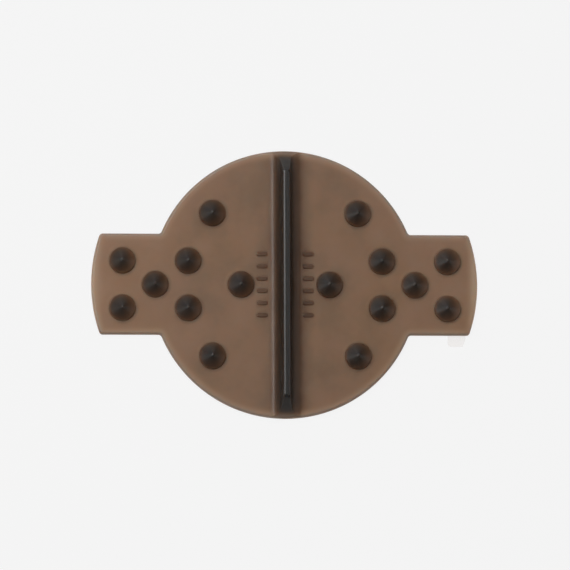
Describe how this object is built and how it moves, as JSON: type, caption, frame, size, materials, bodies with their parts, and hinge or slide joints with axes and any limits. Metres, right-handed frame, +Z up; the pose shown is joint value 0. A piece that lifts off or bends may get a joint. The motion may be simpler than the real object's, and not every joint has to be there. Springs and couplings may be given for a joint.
{
  "type": "snowboard stomp pad",
  "caption": "Round grip pad with a wing at each side, cone-shaped studs and a tall straight scraper ridge, in translucent smoke-brown plastic on double-sided tape with a peel-off liner.",
  "frame": {"origin": "under the middle of the pad, on the underside of the release liner, which is the surface that the part lies on", "axes": "+X along the pad from wing to wing, towards the wing with the pull tab; +Y along the scraper ridge; +Z up, out of the studded face"},
  "size_m": [0.155, 0.1074, 0.0111],
  "materials": {
    "smoke_plastic": "satin",
    "adhesive": "gloss",
    "tape_foam": "matte",
    "liner_film": "satin"
  },
  "bodies": {
    "liner": {"release_liner": "liner_film"},
    "pad": {"pad_moulding": "smoke_plastic", "upper_adhesive": "adhesive", "tape_carrier": "tape_foam", "lower_adhesive": "adhesive"}
  },
  "joints": [
    {"name": "peel", "type": "hinge", "parent": "liner", "child": "pad", "pos_m": [-0.0775, 0, 0.00012], "axis": [0, -1, 0], "range_deg": [0, 75]}
  ]
}
